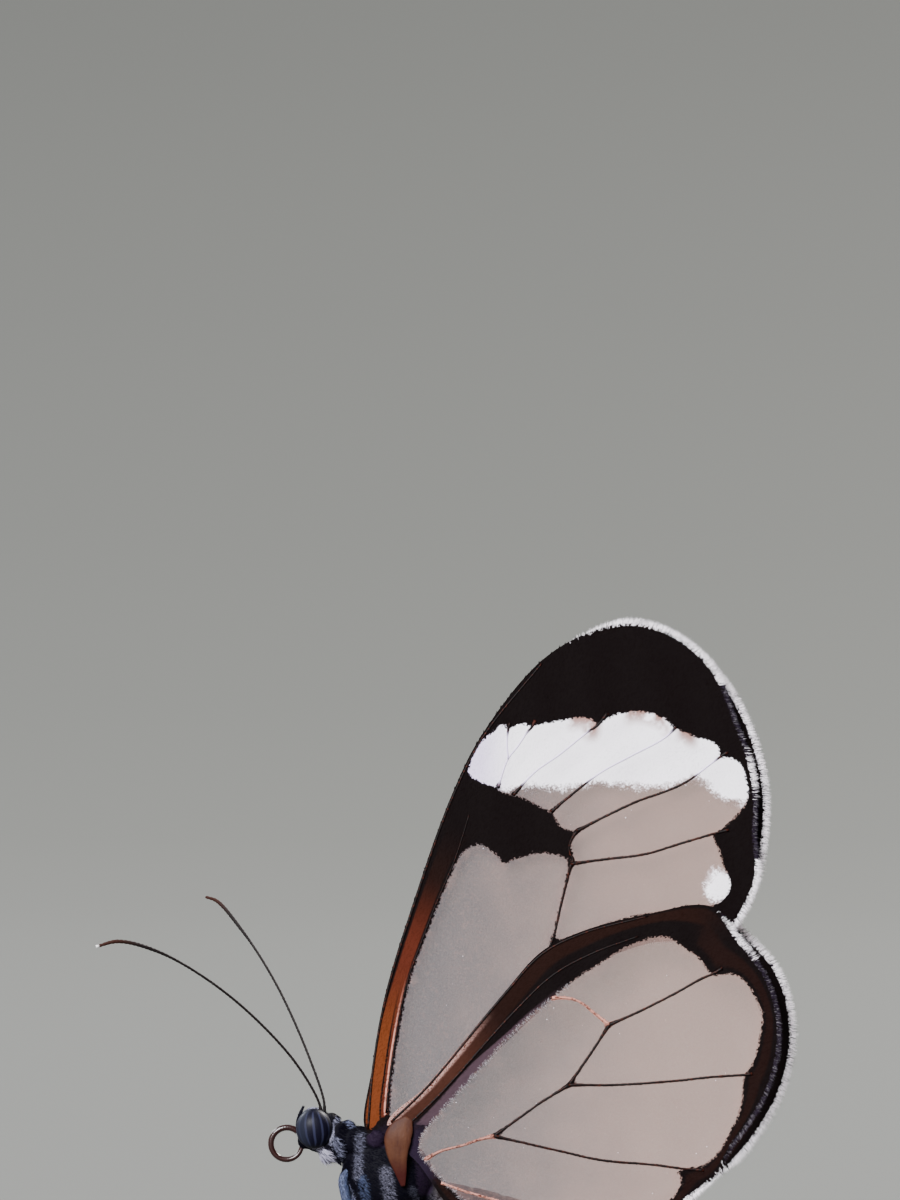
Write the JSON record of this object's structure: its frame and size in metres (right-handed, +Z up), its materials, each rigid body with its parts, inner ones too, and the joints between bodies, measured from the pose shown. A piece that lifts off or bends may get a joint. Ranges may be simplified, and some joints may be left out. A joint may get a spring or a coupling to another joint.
{
  "type": "glasswing butterfly",
  "caption": "Life-size glasswing butterfly at rest, clear-paned wings closed over its back, feelers swept forward, standing on its middle and hind legs.",
  "frame": {"origin": "the middle of the insect's box, on the floor under its feet", "axes": "+Z up, +X from the head towards the tail, -Y the insect's left side, which the picture shows"},
  "size_m": [0.0346, 0.0146, 0.0353],
  "materials": {
    "wing_membrane": "thin clear film with dark scaled veins and rim",
    "body_fur": "short dark fur with pale stripes",
    "eye": "glossy, dark with pale stripes",
    "cuticle": "satin dark horn"
  },
  "bodies": {
    "root": {"thorax": "body_fur", "abdomen": "body_fur", "collar": "body_fur", "head": "body_fur", "proboscis": "cuticle", "eye_left": "eye", "eye_right": "eye", "antenna_left": "cuticle", "antenna_right": "cuticle", "forewing_left": "wing_membrane", "forewing_right": "wing_membrane", "hindwing_left": "wing_membrane", "hindwing_right": "wing_membrane", "fore_leg_left": "cuticle", "fore_leg_right": "cuticle", "mid_femur_left": "cuticle", "mid_femur_right": "cuticle", "mid_tibia_left": "cuticle", "mid_tibia_right": "cuticle", "mid_tarsus_left": "cuticle", "mid_tarsus_right": "cuticle", "hind_femur_left": "cuticle", "hind_femur_right": "cuticle", "hind_tibia_left": "cuticle", "hind_tibia_right": "cuticle", "hind_tarsus_left": "cuticle", "hind_tarsus_right": "cuticle"}
  },
  "joints": []
}
